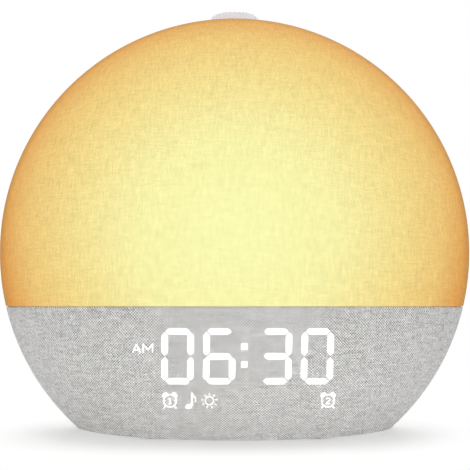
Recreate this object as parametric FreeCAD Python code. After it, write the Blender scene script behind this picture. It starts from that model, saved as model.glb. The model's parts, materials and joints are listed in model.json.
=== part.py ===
"""Sunrise alarm clock: a fabric-covered half-ellipsoid lamp on a round body with a flat base.

Millimetres. The origin is on the ground under the middle of the body, +Z is up, the front
faces -Y, and +X is to the right of someone who faces the clock. The body turns about one
level axis, the disc axis, which runs front to back through (0, axis_height).
"""
import math
import os

from FreeCAD import Placement, Rotation, Vector
import Part

# overall form
disc_radius = 84.0            # outer radius of the round body, over the fabric
overall_depth = 88.0          # from the front of the dome to the faces of the buttons
dome_depth = 57.0             # how far the ellipsoid stands ahead of the rim
axis_height = 64.0            # disc axis above the ground
foot_height = 1.2             # the feet lift the flat base by this much
seam_height = 43.25           # where the lamp fabric meets the base fabric

# walls and general clearances
fabric_thickness = 0.7
shell_thickness = 2.0         # diffuser and base shell
housing_wall = 2.2            # rear housing
skin_gap = 0.1                # between the fabric and the shell under it
piece_gap = 0.3               # between pieces that are pushed together
slip_gap = 0.05               # round a screw or shaft in its hole
seam_gap = 0.2                # between the two fabrics
parting_gap = 0.5             # between the front and the rear housing
rear_step = 0.6               # the rear housing is this much smaller in radius
shoulder_width = 20.0         # radial width of the rear housing's rounded shoulder
past = 1.0                    # how far a cut or a boss runs past the face it has to meet

# chassis, shelf and base
chassis_thickness = 2.0
chassis_lip_length = 3.0
shelf_thickness = 1.6
plate_thickness = 2.4
window_half_width = 30.0      # the chassis's opening for wires, between base and rear
window_sill = 12.4            # above the bottom plate
window_head = 4.0             # below the shelf
wire_hole_radius = 4.0
foot_radius = 6.0
front_foot_inboard = 14.0     # of the front base screws
rear_foot_inboard = 12.0
front_foot_ahead = 19.0       # of the rim

# screws: (shank radius, head radius, head height)
body_screw = (1.5, 3.0, 1.8)
small_screw = (1.0, 2.1, 1.2)
recess_depth = 0.8
recess_width = 0.6
body_screw_ring = 56.0        # the rear screws lie on this radius about the disc axis
body_screw_angles = (-25.0, 20.0, 160.0, 205.0)
body_screw_length = 14.0
base_screw_length = 9.0
led_screw_length = 4.0
button_board_screw_length = 6.0
main_board_screw_length = 5.0
boss_wall = 2.4
small_boss_wall = 1.2
chassis_boss_length = 11.0
counterbore_floor = 4.5       # of the housing's tubes, under the screw heads
blind_floor = 1.0             # left at the end of a blind hole

# lamp
reflector_thickness = 1.2
reflector_flat_radius = 56.0
reflector_flare = 6.3         # how far the flared edge comes forward
led_board_size = (72.0, 24.0)
led_board_rise = 4.75         # the board's lower edge above the seam
led_board_corner = 2.0
led_columns = 8
led_rows = 3
led_pitch = 8.0
led_size = 3.5
led_height = 1.0
board_thickness = 1.6
led_screw_inset = 3.0

# display, laid out on a plane that leans with the dome
display_tilt = 12.0           # degrees
display_drop = 16.85          # middle of the display board's front face below the seam
display_clearance = 1.0       # from the board's lower corners to the shell
display_half_width = 33.2
display_half_height = 14.6
display_flange = 2.0
film_thickness = 0.3
digit_height = 18.2
digit_width = 10.3
digit_lean = 1.2              # degrees
digit_up = 4.9                # middle of the digits above the middle of the board
digit_columns = (-17.1, -4.4, 12.4, 25.2)
segment_width = 2.25
segment_gap = 0.16
colon_column = 2.9
colon_half_pitch = 2.8
symbol_up = -10.0
symbol_columns = (-19.8, -13.4, -7.6, 29.0)
symbol_half_size = 2.7
morning_mark_place = (-27.8, 7.1)
morning_mark_half_size = (3.4, 1.7)
well_led_size = (1.6, 0.6, 0.8)

# knob and its rotary encoder
knob_radius = 9.3
knob_ahead = 2.75             # of the middle of the rear housing's depth
knob_stand = 6.7              # the knob's top above the top of the round body
knob_edge_radius = 1.4
knob_skirt_gap = 0.9          # under the knob, more than its travel
knob_side_gap = 0.8
knob_flutes = 36
flute_radius = 0.5
flute_depth = 0.35
knob_hollow_radius = 7.3
knob_hollow_depth = 6.4
press_travel = 0.5
well_depth = 8.4              # below the top of the round body
well_wall = 2.0
shaft_radius = 3.0
shaft_flat = 1.5              # from the shaft's axis to the flat of its D
shaft_top_gap = 2.0           # from the end of the knob's bore to its top
shaft_foot_gap = 0.15         # between the shaft and its plunger
bushing_radius = 3.5
bushing_length = 7.0
encoder_size = (12.5, 13.0, 7.0)
encoder_top_wall = 1.2
encoder_floor = 1.5
plunger_radius = 4.3
plunger_disc = 1.1
plunger_pin_radius = 1.2
nut_across_flats = 10.0
nut_thickness = 2.0
encoder_board_size = (20.0, 18.0)

# six round buttons on an arc above the disc axis
button_names = ("clock_set", "alarm_1", "alarm_2", "sound", "light", "display_dim")
button_ring = 46.0
button_pitch = 17.0           # degrees
button_radius = 5.0
button_proud = 1.2
button_edge = 0.5             # chamfer round the face of a cap
button_flange = 1.0
button_flange_thickness = 1.2
stem_radius = 1.7
stem_free_length = 2.6        # from the switch to the flange of the cap
switch_size = 6.0
switch_height = 3.5
switch_bore_depth = 1.6
stem_overlap = 0.7            # the stem starts this deep in its switch
button_board_half_width = 9.0
button_board_half_angle = 57.0
button_boss_places = ((-53.5, 46.0), (0.0, 39.9), (53.5, 46.0))  # angle and radius about the disc axis

# speaker that fires through the back
speaker_height = 44.0
speaker_radius = 20.8
speaker_rim = 3.9
gasket_thickness = 0.8
speaker_flange = 1.0
basket_depth = 7.8
magnet_radius = 11.0
magnet_thickness = 8.0
coil_radius = 6.0
basket_wall = 1.2
basket_floor = 1.0
basket_throat_gap = 0.5       # the basket's outside beyond the magnet, at its throat
coil_gap = 1.0
spoke_window_width = 6.0
cone_thickness = 0.6
cone_depth = 4.0
cap_rise = 2.0                # of the dust cap above the cone's neck
grille_radius = 22.0
grille_thickness = 1.2
grille_hole_radius = 1.3
grille_pitch = 5.0
grille_rings = 3
speaker_screw_ring = 23.2
speaker_screw_angles = (50.0, 130.0, 230.0, 310.0)
basket_windows = 4
speaker_screw = (1.0, 3.0, 1.4)
speaker_screw_length = 2.6
speaker_pilot_depth = 1.0

# main board in the base, with the power inlet
main_board_side_gap = 4.0     # from the axis of the rear base screws
main_board_front_gap = 3.2    # from the rim
main_board_rear_gap = 2.1     # from the back wall
main_board_underside = 7.0
board_screw_inset = 3.0
jack_inset = 7.0              # from the end of the board
jack_size = (9.0, 12.9, 11.0)
jack_nose_radius = 4.0
jack_bore_radius = 3.15
jack_bore_depth = 10.0
jack_pin_radius = 1.0
jack_pin_setback = 0.7
jack_screw_gap = 10.0         # from the jack to the screw and the chip beside it
cell_inset = 12.0
cell_radius = 6.25
cell_thickness = 2.0
holder_wall = 1.3
holder_floor = 0.8
holder_depth = 1.4
controller_inset = (25.0, 5.8)   # from the left end and the front edge
controller_size = (9.0, 9.0, 1.6)
amplifier_rear_inset = 8.5
amplifier_size = (5.0, 6.0, 1.6)
capacitor_radius = 2.5
capacitor_height = 6.0
base_screw_inset = 14.27      # from the inside of the shell, at the plate
rear_screw_inboard = 5.0      # of the front base screws
rear_screw_ahead = 7.6        # of the back wall
base_boss_height = 10.0
base_rib_thickness = 2.4
vent_count = 5
vent_pitch = 6.0
vent_width = 2.0
vent_length = 8.0
vent_ahead = 15.0             # of the rim

# places that follow from the sizes above
front_y = -overall_depth / 2
rim_y = front_y + dome_depth
back_y = overall_depth / 2 - button_proud
rear_start_y = rim_y + parting_gap
rear_radius = disc_radius - rear_step
flat_radius = rear_radius - shoulder_width
inner_back_y = back_y - housing_wall
shell_inset = fabric_thickness + skin_gap
inside_inset = shell_inset + shell_thickness
chassis_front_y = rim_y - chassis_thickness
shelf_bottom = seam_height - shelf_thickness
plate_top = foot_height + plate_thickness
body_top = axis_height + disc_radius
counterbore_depth = back_y - rim_y - chassis_boss_length - piece_gap - counterbore_floor
led_board_height = seam_height + led_board_rise + led_board_size[1] / 2
knob_y = (rear_start_y + back_y) / 2 - knob_ahead
knob_top = body_top + knob_stand
well_floor_height = body_top - well_depth
flange_front = inner_back_y - piece_gap - button_flange_thickness   # where a cap's stem starts
switch_top = flange_front - stem_free_length
button_board_front = switch_top - switch_height
base_half_width = math.sqrt((disc_radius - inside_inset) ** 2 - (axis_height - plate_top) ** 2)
base_screw_x = base_half_width - base_screw_inset
base_screw_y = chassis_front_y + chassis_thickness / 2
base_screw_rear_place = (base_screw_x - rear_screw_inboard, inner_back_y - rear_screw_ahead)
front_foot_place = (base_screw_x - front_foot_inboard, rim_y - front_foot_ahead)
rear_foot_place = (base_screw_x - rear_foot_inboard, (rim_y + inner_back_y) / 2)
vent_y = rim_y - vent_ahead
board_left = main_board_side_gap - base_screw_rear_place[0]
board_right = -board_left
board_front = rim_y + main_board_front_gap
board_rear = inner_back_y - main_board_rear_gap
board_top = main_board_underside + board_thickness
jack_x = board_right - jack_inset
jack_front = inner_back_y - piece_gap - jack_size[1]
main_board_screws = (
    (board_right - board_screw_inset, board_front + board_screw_inset),
    (board_left + board_screw_inset, board_front + board_screw_inset),
    (board_left + board_screw_inset, board_rear - board_screw_inset),
    (jack_x - jack_screw_gap, board_rear - board_screw_inset),
)
cell_place = (board_left + cell_inset, (board_front + board_rear) / 2)
controller_place = (board_left + controller_inset[0], board_front + controller_inset[1])
amplifier_place = (jack_x - jack_screw_gap, board_rear - amplifier_rear_inset)
capacitor_places = (
    (jack_x, jack_front - capacitor_radius - piece_gap),
    (jack_x - 2 * capacitor_radius - piece_gap, board_front + capacitor_radius + piece_gap),
    (controller_place[0] - capacitor_radius, board_rear - capacitor_radius - piece_gap),
)
body_screw_spots = [
    (body_screw_ring * math.cos(math.radians(a)), axis_height + body_screw_ring * math.sin(math.radians(a)))
    for a in body_screw_angles
]
button_angles = [(i - (len(button_names) - 1) / 2) * button_pitch for i in range(len(button_names))]
big = 4 * disc_radius


def box(x0, x1, y0, y1, z0, z1):
    return Part.makeBox(x1 - x0, y1 - y0, z1 - z0, Vector(x0, y0, z0))


def rod_y(x, z, y0, y1, radius):
    return Part.makeCylinder(radius, y1 - y0, Vector(x, y0, z), Vector(0, 1, 0))


def rod_z(x, y, z0, z1, radius):
    return Part.makeCylinder(radius, z1 - z0, Vector(x, y, z0), Vector(0, 0, 1))


def ring_y(x, z, y0, y1, outer, inner):
    return rod_y(x, z, y0, y1, outer).cut(rod_y(x, z, y0 - past, y1 + past, inner))


def slab(z0, z1):
    """Everything between two heights."""
    return box(-big, big, -big, big, z0, z1)


def turned(edges_or_points, z=axis_height):
    """A solid turned about a level axis at height z, from an outline in (radius, y)."""
    if isinstance(edges_or_points[0], tuple):
        points = [Vector(r, y, z) for r, y in edges_or_points]
        wire = Part.makePolygon(points + points[:1])
    else:
        wire = Part.Wire(Part.__sortEdges__(edges_or_points))
    return Part.Face(wire).revolve(Vector(0, 0, z), Vector(0, 1, 0), 360)


def oval_quarter(radial, axial, inset):
    """Three tangent arcs that follow a quarter of an ellipse and lie inset inside it.

    Each arc is its start, middle and end as (radius, depth), from the radial tip to the axial tip.
    """
    major, minor = max(radial, axial), min(radial, axial)
    tight, loose = minor ** 2 / major, major ** 2 / minor
    medium = (major + minor) / 2
    tip = Vector(major - tight, 0, 0)
    crown = Vector(0, minor - loose, 0)
    span = tip - crown
    reach = loose - medium
    along = (reach ** 2 - (medium - tight) ** 2 + span.Length ** 2) / (2 * span.Length)
    across = math.sqrt(reach ** 2 - along ** 2)
    way = span / span.Length
    middle = crown + way * along + Vector(-way.y, way.x, 0) * across
    if middle.Length > (crown + way * along).Length:
        middle = crown + way * along - Vector(-way.y, way.x, 0) * across
    rays = [Vector(1, 0, 0), (tip - middle).normalize(), (middle - crown).normalize(), Vector(0, 1, 0)]
    arcs = []
    for centre, radius, first, last in zip((tip, middle, crown), (tight, medium, loose), rays, rays[1:]):
        half_way = (first + last).normalize()
        points = [centre + ray * (radius - inset) for ray in (first, half_way, last)]
        arcs.append([(q.x, q.y) if radial >= axial else (q.y, q.x) for q in points])
    return arcs if radial >= axial else arcs[::-1]


def oval_edges(centre_radius, centre_y, radial, axial, inset, way):
    """The arcs of oval_quarter as edges about a centre: way is -1 when they bulge to the front."""
    edges = []
    for arc in oval_quarter(radial, axial, inset):
        points = [Vector(centre_radius + r, centre_y + way * depth, axis_height) for r, depth in arc]
        edges.append(Part.Arc(*points).toShape())
    return edges


def line(r0, y0, r1, y1):
    return Part.makeLine(Vector(r0, y0, axis_height), Vector(r1, y1, axis_height))


def dome(inset):
    """The filled dome ahead of the rim, smaller all over by inset."""
    r = disc_radius - inset
    y = rim_y - dome_depth + inset
    curve = oval_edges(0, rim_y, disc_radius, dome_depth, inset, -1)
    return turned(curve + [line(r, rim_y, 0, rim_y), line(0, rim_y, 0, y)])


def dome_layer(outer_inset, inner_inset):
    """A skin of the dome, open at the rim."""
    outer = oval_edges(0, rim_y, disc_radius, dome_depth, outer_inset, -1)
    inner = oval_edges(0, rim_y, disc_radius, dome_depth, inner_inset, -1)
    rim = line(disc_radius - outer_inset, rim_y, disc_radius - inner_inset, rim_y)
    apex = line(0, front_y + outer_inset, 0, front_y + inner_inset)
    return turned(outer + inner + [rim, apex])


def rear_volume(inset, start_y=rear_start_y):
    """The filled rear housing, smaller all over by inset, from start_y to the back."""
    r = rear_radius - inset
    edges = oval_edges(flat_radius, rear_start_y, shoulder_width, back_y - rear_start_y, inset, 1)
    edges += [
        line(flat_radius, back_y - inset, 0, back_y - inset),
        line(0, back_y - inset, 0, start_y),
        line(0, start_y, r, start_y),
    ]
    if start_y < rear_start_y:
        edges.append(line(r, start_y, r, rear_start_y))
    return turned(edges)


def fused(shapes):
    whole = shapes[0].multiFuse(shapes[1:]) if len(shapes) > 1 else shapes[0]
    return whole.removeSplitter()


def minus(shape, tools):
    return shape.cut(Part.makeCompound(tools))


def screw(kind, length, place, direction):
    """A pan-head screw with a cross recess: place is under the head, direction is the way it is driven."""
    shank, head, head_height = kind
    along = Vector(*direction)
    body = Part.makeCylinder(shank, length, Vector(0, 0, 0), Vector(0, 0, 1))
    top = Part.makeCylinder(head, head_height, Vector(0, 0, -head_height), Vector(0, 0, 1))
    top = top.makeChamfer(head_height * 0.35, [e for e in top.Edges if e.BoundBox.ZMax < -head_height / 2])
    arm = head * 0.6
    floor = recess_depth - head_height
    cross = [
        box(-arm, arm, -recess_width / 2, recess_width / 2, -head_height - past, floor),
        box(-recess_width / 2, recess_width / 2, -arm, arm, -head_height - past, floor),
    ]
    whole = body.fuse(minus(top, [fused(cross)])).removeSplitter()
    whole.Placement = Placement(Vector(*place), Rotation(Vector(0, 0, 1), along))
    return whole


def write(name, shape):
    solids = shape.Solids
    if not solids or not all(s.isValid() and s.Volume > 0 for s in solids):
        raise ValueError("bad solid in " + name)
    out = solids[0] if len(solids) == 1 else Part.makeCompound(solids)
    out.exportStep(os.path.join("parts", name + ".step"))
    print(name, len(solids), round(out.Volume, 1))


def on_display(shape):
    """Moves a shape from the upright drawing of the display to its leaning place behind the dome."""
    y, z = display_middle()
    moved = shape.copy()
    lean = Placement(Vector(0, y, z), Rotation(Vector(1, 0, 0), display_tilt))
    moved.Placement = lean.multiply(moved.Placement)
    return moved


def display_middle():
    """(y, z) of the middle of the board's front face, set back until its lower corners clear the shell."""
    z = seam_height - display_drop
    low = display_half_height + display_flange
    tilt = math.radians(display_tilt)
    radius = disc_radius - inside_inset
    across = (display_half_width + display_flange) / radius
    down = (axis_height - z + low * math.cos(tilt)) / radius
    reach = (dome_depth - inside_inset) * math.sqrt(1 - across ** 2 - down ** 2)
    return rim_y - reach + display_clearance - low * math.sin(tilt), z


def display_block_space(margin):
    """The leaning box that the display fills, from its board forward past the dome."""
    w = display_half_width + margin
    return on_display(box(-w, w, -dome_depth, 0, -display_half_height - margin, display_half_height + margin))


# fabric and shells

def lamp_fabric():
    return dome_layer(0, fabric_thickness).common(slab(seam_height + seam_gap / 2, big))


def base_fabric():
    return dome_layer(0, fabric_thickness).common(slab(foot_height, seam_height - seam_gap / 2))


def lamp_diffuser():
    return dome_layer(shell_inset, inside_inset).common(slab(seam_height, big))


def base_shell():
    shell = dome_layer(shell_inset, inside_inset).common(slab(foot_height, shelf_bottom))
    return shell.cut(display_block_space(piece_gap))


def divider_shelf():
    plate = dome(shell_inset).common(slab(shelf_bottom, seam_height))
    return plate.cut(box(-big, big, chassis_front_y, big, 0, big))


def chassis():
    """The plate across the rim that locates the front, the rear housing, the lamp and the base."""
    edge = disc_radius - inside_inset - piece_gap
    plate = rod_y(0, axis_height, chassis_front_y, rim_y, edge)
    lip = ring_y(0, axis_height, rim_y, rim_y + chassis_lip_length, edge, edge - chassis_thickness)
    shank = body_screw[0]
    outer = shank + boss_wall
    boss_end = rim_y + chassis_boss_length
    post_top = plate_top + piece_gap + base_boss_height
    bosses = [rod_y(x, z, chassis_front_y, boss_end, outer) for x, z in body_screw_spots]
    feet = [rod_z(side * base_screw_x, base_screw_y, 0, post_top, outer) for side in (-1, 1)]
    whole = fused([plate, lip] + bosses + feet).common(slab(plate_top + piece_gap, big))
    w = window_half_width
    window = box(-w, w, -big, big, plate_top + window_sill, shelf_bottom - window_head)
    pilots = [rod_y(x, z, chassis_front_y + blind_floor, big, shank + slip_gap) for x, z in body_screw_spots]
    post_bore = plate_top + base_boss_height
    pilots += [rod_z(side * base_screw_x, base_screw_y, 0, post_bore, shank + slip_gap) for side in (-1, 1)]
    pilots += led_screw_holes(rim_y + past, slip_gap)
    well_clear = rod_z(0, knob_y, encoder_top() - piece_gap, big, well_radius() + well_wall + piece_gap)
    return minus(whole, [window, wire_hole(), well_clear] + pilots)


def wire_hole():
    """The way through reflector and chassis for the wires of the LED board."""
    return rod_y(0, led_board_height + led_board_size[1], -big, rim_y + past, wire_hole_radius)


def rear_housing():
    outer = rear_volume(0)
    shell = outer.cut(rear_volume(housing_wall, rear_start_y - past))
    shank, head, _ = body_screw
    tube_start = rim_y + chassis_boss_length + piece_gap
    tubes = [rod_y(x, z, tube_start, back_y - past, head + boss_wall) for x, z in body_screw_spots]
    well = rod_z(0, knob_y, well_floor_height - well_wall, big, well_radius() + well_wall)
    small_boss = small_screw[0] + small_boss_wall
    board_bosses = [rod_y(x, z, button_board_front, back_y - past, small_boss) for x, z in button_bosses()]
    flange_y = speaker_flange_front()
    speaker_bosses = [rod_y(x, z, flange_y, back_y - past, small_boss) for x, z in speaker_screws_at()]
    base_bosses = [base_boss(side) for side in (-1, 1)]
    added = fused(tubes + [well] + board_bosses + speaker_bosses + base_bosses).common(outer)
    whole = shell.fuse(added).common(slab(foot_height, big)).removeSplitter()
    cuts = [rod_z(0, knob_y, well_floor_height, big, well_radius())]
    cuts.append(rod_z(0, knob_y, axis_height, big, bushing_radius + slip_gap))
    cuts += [rod_y(x, z, back_y - counterbore_depth, big, head + piece_gap) for x, z in body_screw_spots]
    cuts += [rod_y(x, z, rim_y, big, shank + piece_gap) for x, z in body_screw_spots]
    cuts += [rod_y(x, z, inner_back_y - past, big, button_radius + piece_gap) for x, z in button_spots()]
    cuts += [rod_y(x, z, 0, inner_back_y, small_screw[0] + slip_gap) for x, z in button_bosses()]
    cuts += [rod_y(x, z, 0, speaker_pilot_end(), small_screw[0] + slip_gap) for x, z in speaker_screws_at()]
    cuts.append(rod_y(0, speaker_height, rim_y, big, speaker_radius - speaker_rim + piece_gap))
    cuts.append(rod_y(0, speaker_height, back_y - grille_thickness, big, grille_radius + skin_gap))
    cuts.append(rod_y(jack_x, jack_height(), rim_y, big, jack_nose_radius + piece_gap))
    x, y = base_screw_rear_place
    cuts += [rod_z(side * x, y, 0, plate_top + base_boss_height, shank + slip_gap) for side in (-1, 1)]
    return minus(whole, cuts)


def base_boss(side):
    """A screw post above the bottom plate with a rib that joins it to the back wall."""
    x, y = base_screw_rear_place
    z0 = plate_top + piece_gap
    z1 = z0 + base_boss_height
    post = rod_z(side * x, y, z0, z1, body_screw[0] + boss_wall)
    half = base_rib_thickness / 2
    rib = box(side * x - half, side * x + half, y, back_y - past, z0, z1)
    return post.fuse(rib.cut(rod_z(side * x, y, z0, z1, body_screw[0] + boss_wall / 2)))


def base_screw_spots():
    x, y = base_screw_rear_place
    return [(base_screw_x, base_screw_y), (-base_screw_x, base_screw_y), (x, y), (-x, y)]


def bottom_plate():
    inset = inside_inset + piece_gap
    front = dome(inset)
    rear = rear_volume(housing_wall + piece_gap, rim_y)
    plate = fused([front, rear]).common(slab(foot_height, plate_top))
    small_boss = small_screw[0] + small_boss_wall
    posts = [rod_z(x, y, plate_top, main_board_underside, small_boss) for x, y in main_board_screws]
    whole = fused([plate] + posts)
    shank, head, head_height = body_screw
    cuts = [rod_z(x, y, 0, foot_height + head_height / 2 + recess_depth, head + piece_gap)
            for x, y in base_screw_spots()]
    cuts += [rod_z(x, y, 0, big, shank + piece_gap) for x, y in base_screw_spots()]
    blind = foot_height + blind_floor
    cuts += [rod_z(x, y, blind, big, small_screw[0] + slip_gap) for x, y in main_board_screws]
    return minus(plate_vents(whole), cuts)


def plate_vents(plate):
    """A row of slots in the base that lets warm air in."""
    x0 = (vent_count - 1) / 2 * vent_pitch
    slots = []
    for i in range(vent_count):
        x = i * vent_pitch - x0
        slots.append(box(x - vent_width / 2, x + vent_width / 2, vent_y, vent_y + vent_length, 0, big))
    return minus(plate, slots)


def base_screws():
    head_z = foot_height + body_screw[2] / 2 + recess_depth
    return Part.makeCompound([
        screw(body_screw, base_screw_length, (x, y, head_z), (0, 0, 1)) for x, y in base_screw_spots()
    ])


def rear_screws():
    y = back_y - counterbore_depth
    return Part.makeCompound([
        screw(body_screw, body_screw_length, (x, y, z), (0, -1, 0)) for x, z in body_screw_spots
    ])


def foot(x, y):
    pad = rod_z(x, y, 0, foot_height, foot_radius)
    return pad.makeChamfer(foot_height / 3, [e for e in pad.Edges if e.BoundBox.ZMax < foot_height / 2])


# lamp

def reflector():
    y = chassis_front_y
    t = reflector_thickness
    flare_y = y - t - reflector_flare
    depth_share = (rim_y - flare_y) / (dome_depth - inside_inset)
    edge = (disc_radius - inside_inset) * math.sqrt(1 - depth_share ** 2) - 2 * piece_gap
    flat = reflector_flat_radius
    outline = [(0, y - t), (flat, y - t), (edge, flare_y), (edge, flare_y + t), (flat, y), (0, y)]
    dish = turned(outline).common(slab(seam_height, big))
    return minus(dish, led_screw_holes(y + past, piece_gap) + [wire_hole()])


def led_screw_columns():
    return [side * (led_board_size[0] / 2 - led_screw_inset) for side in (-1, 1)]


def led_screw_holes(end_y, gap):
    radius = small_screw[0] + gap
    return [rod_y(x, led_board_height, -big, end_y, radius) for x in led_screw_columns()]


def led_board_y():
    """The face of the board that carries the LEDs."""
    return chassis_front_y - reflector_thickness - board_thickness


def led_board():
    w, h = led_board_size
    board = box(-w / 2, w / 2, led_board_y(), led_board_y() + board_thickness,
                led_board_height - h / 2, led_board_height + h / 2)
    corners = [e for e in board.Edges if abs(e.Vertexes[0].Y - e.Vertexes[-1].Y) > board_thickness / 2]
    board = board.makeFillet(led_board_corner, corners)
    return minus(board, led_screw_holes(big, piece_gap))


def lamp_leds():
    half = led_size / 2
    chips = []
    for column in range(led_columns):
        for row in range(led_rows):
            x = (column - (led_columns - 1) / 2) * led_pitch
            z = led_board_height + (row - (led_rows - 1) / 2) * led_pitch
            front = led_board_y() - led_height
            chips.append(box(x - half, x + half, front, front + led_height, z - half, z + half))
    return Part.makeCompound(chips)


def led_screws():
    places = [(x, led_board_y(), led_board_height) for x in led_screw_columns()]
    return Part.makeCompound([screw(small_screw, led_screw_length, place, (0, 1, 0)) for place in places])


# display

def segment_outline(x0, z0, x1, z1):
    """Six corners of a segment between two corners of the digit, pointed at both ends."""
    length = math.hypot(x1 - x0, z1 - z0)
    ux, uz = (x1 - x0) / length, (z1 - z0) / length
    half = segment_width / 2
    cut = segment_gap
    marks = [(cut, 0), (cut + half, half), (length - cut - half, half), (length - cut, 0),
             (length - cut - half, -half), (cut + half, -half)]
    return [(x0 + ux * a - uz * b, z0 + uz * a + ux * b) for a, b in marks]


def digit_segments(column):
    """The outlines of the seven segments of one digit, in the plane of the display."""
    w = (digit_width - segment_width) / 2
    h = (digit_height - segment_width) / 2
    lean = math.tan(math.radians(digit_lean))
    level = [(-w, z, w, z) for z in (h, 0, -h)]
    upright = [(x, z, x, z - h) for x in (-w, w) for z in (h, 0)]
    ends = level + upright
    outlines = []
    for x0, z0, x1, z1 in ends:
        outline = segment_outline(x0, z0, x1, z1)
        outlines.append([(column + x + z * lean, digit_up + z) for x, z in outline])
    return outlines


def rectangle(x, z, half_width, half_height):
    return [(x - half_width, z - half_height), (x + half_width, z - half_height),
            (x + half_width, z + half_height), (x - half_width, z + half_height)]


def display_wells():
    """The outline of every light well: four digits, the colon, four symbols and the morning mark."""
    wells = []
    for column in digit_columns:
        wells += digit_segments(column)
    half = segment_width / 2
    for side in (-1, 1):
        wells.append(rectangle(colon_column, digit_up + side * colon_half_pitch, half, half))
    for column in symbol_columns:
        wells.append(rectangle(column, symbol_up, symbol_half_size, symbol_half_size))
    wells.append(rectangle(*morning_mark_place, *morning_mark_half_size))
    return wells


def display_block():
    """Light wells that run forward to a face curved like the dome, with a flange inside the shell."""
    front_inset = shell_inset + film_thickness + skin_gap
    core = display_block_space(0).common(dome(front_inset))
    w = display_half_width + display_flange
    h = display_half_height
    flange = on_display(box(-w, w, -dome_depth, 0, -h - display_flange, h))
    flange = flange.common(dome(inside_inset + skin_gap))
    whole = fused([core, flange])
    prisms = []
    for outline in display_wells():
        points = [Vector(x, past, z) for x, z in outline]
        face = Part.Face(Part.makePolygon(points + points[:1]))
        prisms.append(on_display(face.extrude(Vector(0, -dome_depth, 0))))
    return minus(whole, prisms)


def display_film():
    return dome_layer(shell_inset, shell_inset + film_thickness).common(display_block_space(0))


def display_board():
    w = display_half_width + display_flange
    h = display_half_height
    return on_display(box(-w, w, 0, board_thickness, -h - display_flange, h))


def display_leds():
    w, t, h = well_led_size
    chips = []
    for outline in display_wells():
        x = sum(p[0] for p in outline) / len(outline)
        z = sum(p[1] for p in outline) / len(outline)
        chips.append(on_display(box(x - w / 2, x + w / 2, -t, 0, z - h / 2, z + h / 2)))
    return Part.makeCompound(chips)


# knob and encoder

def well_radius():
    return knob_radius + knob_side_gap


def knob_bottom():
    return well_floor_height + knob_skirt_gap


def shaft_solid(radius, flat, z0, z1, flat_from):
    """A D-shaft: the flat faces the front above flat_from."""
    rod = rod_z(0, knob_y, z0, z1, radius)
    return rod.cut(box(-big, big, -big, knob_y - flat, flat_from, big))


def encoder_top():
    return well_floor_height - well_wall


def bushing_top():
    return encoder_top() + bushing_length


def knob():
    z0, z1 = knob_bottom(), knob_top
    body = rod_z(0, knob_y, z0, z1, knob_radius)
    body = body.makeFillet(knob_edge_radius, [e for e in body.Edges if e.BoundBox.ZMin > (z0 + z1) / 2])
    groove_ring = knob_radius + flute_radius - flute_depth
    grooves = []
    for i in range(knob_flutes):
        a = 2 * math.pi * i / knob_flutes
        grooves.append(rod_z(groove_ring * math.cos(a), knob_y + groove_ring * math.sin(a),
                             z0 - past, z1 - knob_edge_radius / 2, flute_radius))
    hollow = rod_z(0, knob_y, z0 - past, z0 + knob_hollow_depth, knob_hollow_radius)
    bore_top = knob_top - shaft_top_gap
    bore = shaft_solid(shaft_radius + slip_gap, shaft_flat + slip_gap, z0, bore_top, bushing_top())
    return minus(body, grooves + [hollow, bore])


def encoder_shaft():
    top = knob_top - shaft_top_gap - slip_gap
    foot_z = plunger_top() + shaft_foot_gap
    return shaft_solid(shaft_radius, shaft_flat, foot_z, top, bushing_top() + press_travel + slip_gap)


def plunger_top():
    return encoder_top() - encoder_top_wall - 2 * piece_gap


def encoder_plunger():
    """The carrier under the shaft that a push on the knob drives into its switch."""
    disc = rod_z(0, knob_y, plunger_top() - plunger_disc, plunger_top(), plunger_radius)
    pin = rod_z(0, knob_y, cavity_floor() + press_travel + piece_gap / 2, plunger_top(), plunger_pin_radius)
    return disc.fuse(pin).removeSplitter()


def cavity_floor():
    return encoder_top() - encoder_size[2] + encoder_floor


def encoder_body():
    w, d, h = encoder_size
    top = encoder_top()
    can = box(-w / 2, w / 2, knob_y - d / 2, knob_y + d / 2, top - h, top)
    whole = can.fuse(rod_z(0, knob_y, top, bushing_top(), bushing_radius))
    cavity = rod_z(0, knob_y, cavity_floor(), top - encoder_top_wall, plunger_radius + piece_gap)
    bore = rod_z(0, knob_y, cavity_floor(), big, shaft_radius + slip_gap)
    return minus(whole.removeSplitter(), [cavity, bore])


def encoder_nut():
    z0 = well_floor_height
    corner = nut_across_flats / 2 / math.cos(math.pi / 6)
    points = [Vector(corner * math.cos(k * math.pi / 3), knob_y + corner * math.sin(k * math.pi / 3), z0)
              for k in range(7)]
    nut = Part.Face(Part.makePolygon(points)).extrude(Vector(0, 0, nut_thickness))
    return nut.cut(rod_z(0, knob_y, 0, big, bushing_radius + slip_gap))


def encoder_board():
    w, d = encoder_board_size
    top = encoder_top() - encoder_size[2]
    y = (rim_y + inner_back_y) / 2
    return box(-w / 2, w / 2, y - d / 2, y + d / 2, top - board_thickness, top)


# buttons

def about_axis(angle, radius):
    """A place about the disc axis: angle is from straight up, positive to +X."""
    a = math.radians(angle)
    return (radius * math.sin(a), axis_height + radius * math.cos(a))


def button_spots():
    return [about_axis(angle, button_ring) for angle in button_angles]


def button_bosses():
    return [about_axis(angle, radius) for angle, radius in button_boss_places]


def button_cap(x, z):
    cap = rod_y(x, z, flange_front, back_y + button_proud, button_radius)
    cap = cap.makeChamfer(button_edge, [e for e in cap.Edges if e.BoundBox.YMin > back_y])
    flange = rod_y(x, z, flange_front, flange_front + button_flange_thickness, button_radius + button_flange)
    return cap.fuse(flange).removeSplitter()


def button_stem(x, z):
    return rod_y(x, z, switch_top - stem_overlap, flange_front, stem_radius)


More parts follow.
